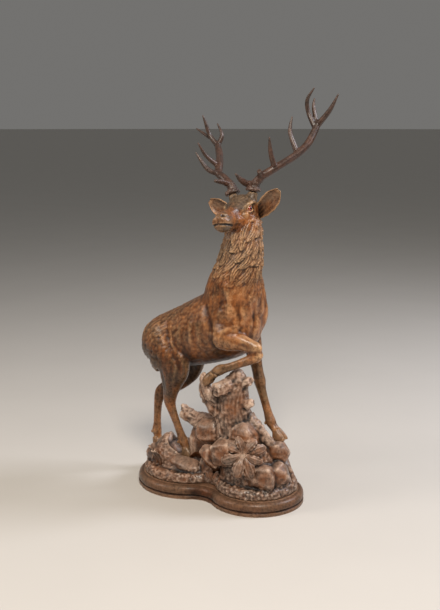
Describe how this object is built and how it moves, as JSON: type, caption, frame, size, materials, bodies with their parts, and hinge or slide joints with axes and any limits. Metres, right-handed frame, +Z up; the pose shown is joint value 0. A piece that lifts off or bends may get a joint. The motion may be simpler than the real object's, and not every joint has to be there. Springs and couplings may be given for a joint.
{
  "type": "stag sculpture",
  "caption": "Carved and stained wooden stag with spreading antlers, one foreleg raised onto a tree stump, on rockwork and a moulded two-lobed plinth; a freestanding ornament.",
  "frame": {"origin": "on the plinth's underside, midway between the centres of its two lobes", "axes": "X is the stag's heading, Y its left side, Z up"},
  "size_m": [0.5384, 0.3751, 1.1001],
  "materials": {
    "plinth_wood": "stained and waxed",
    "rock_wood": "stained, dry and dusty on the high spots",
    "stained_wood": "stained, satin varnish, worn on the high spots",
    "antler_wood": "stained, satin",
    "eye_glass": "polished, dark amber red"
  },
  "bodies": {
    "root": {"plinth": "plinth_wood", "rockwork": "rock_wood", "stag": "stained_wood", "antler_left": "antler_wood", "antler_right": "antler_wood", "eye_left": "eye_glass", "eye_right": "eye_glass"}
  },
  "joints": []
}
